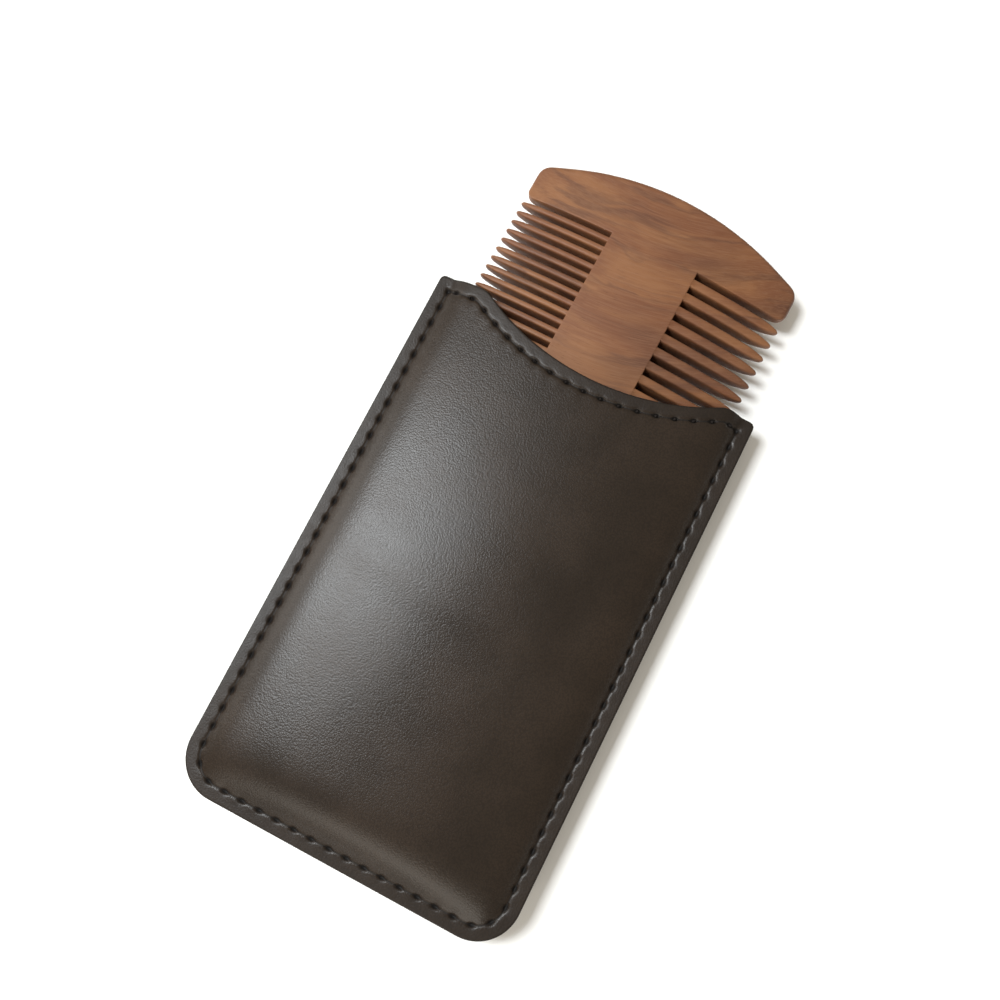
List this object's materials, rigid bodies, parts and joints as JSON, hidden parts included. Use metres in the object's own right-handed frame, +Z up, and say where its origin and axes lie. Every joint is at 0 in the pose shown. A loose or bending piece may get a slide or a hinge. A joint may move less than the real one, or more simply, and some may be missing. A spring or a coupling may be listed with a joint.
{
  "type": "beard comb",
  "caption": "Two-sided wooden beard comb with fine and coarse teeth, half drawn out of a flat stitched dark leather sleeve with a curved thumb notch.",
  "frame": {"origin": "middle of the sleeve's flat resting face, on its back", "axes": "+X right to the comb's coarse side, +Y along the sleeve to its mouth, +Z up through the front panel"},
  "size_m": [0.075, 0.1578, 0.0133],
  "materials": {
    "comb_wood": "satin",
    "leather": "satin",
    "lining_cloth": "matte",
    "thread": "matte"
  },
  "bodies": {
    "sleeve": {"front_outer_leather": "leather", "front_lining": "lining_cloth", "back_outer_leather": "leather", "back_lining": "lining_cloth", "side_seam_needle_thread": "thread", "side_seam_bobbin_thread": "thread", "front_mouth_needle_thread": "thread", "front_mouth_bobbin_thread": "thread", "back_mouth_needle_thread": "thread", "back_mouth_bobbin_thread": "thread"},
    "comb": {"comb": "comb_wood"}
  },
  "joints": [
    {"name": "comb_slide", "type": "slide", "parent": "sleeve", "child": "comb", "axis": [0.0209, 0.9998, 0], "range_m": [-0.044, 0.066]}
  ]
}
